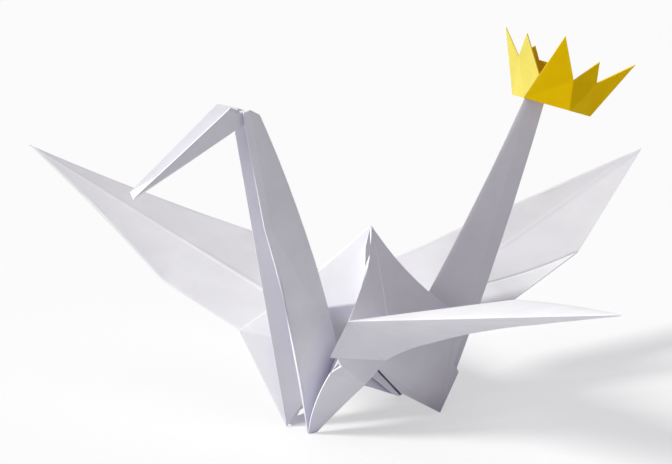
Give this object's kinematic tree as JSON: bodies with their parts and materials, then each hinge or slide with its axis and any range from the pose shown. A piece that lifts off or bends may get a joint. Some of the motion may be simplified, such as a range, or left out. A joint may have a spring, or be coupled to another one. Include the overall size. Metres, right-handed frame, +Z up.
{
  "type": "origami crane",
  "caption": "Paper crane folded from one square sheet, standing on its folded feet, with a small cut paper crown set on its tail.",
  "frame": {"origin": "on the surface that the crane stands on, under the middle of its box", "axes": "+X along the body from beak to tail, +Y along the far wing, +Z up"},
  "size_m": [0.1236, 0.1384, 0.0585],
  "materials": {
    "white_paper": "matt",
    "yellow_paper": "matt"
  },
  "bodies": {
    "root": {"crane": "white_paper", "crown": "yellow_paper"}
  },
  "joints": []
}
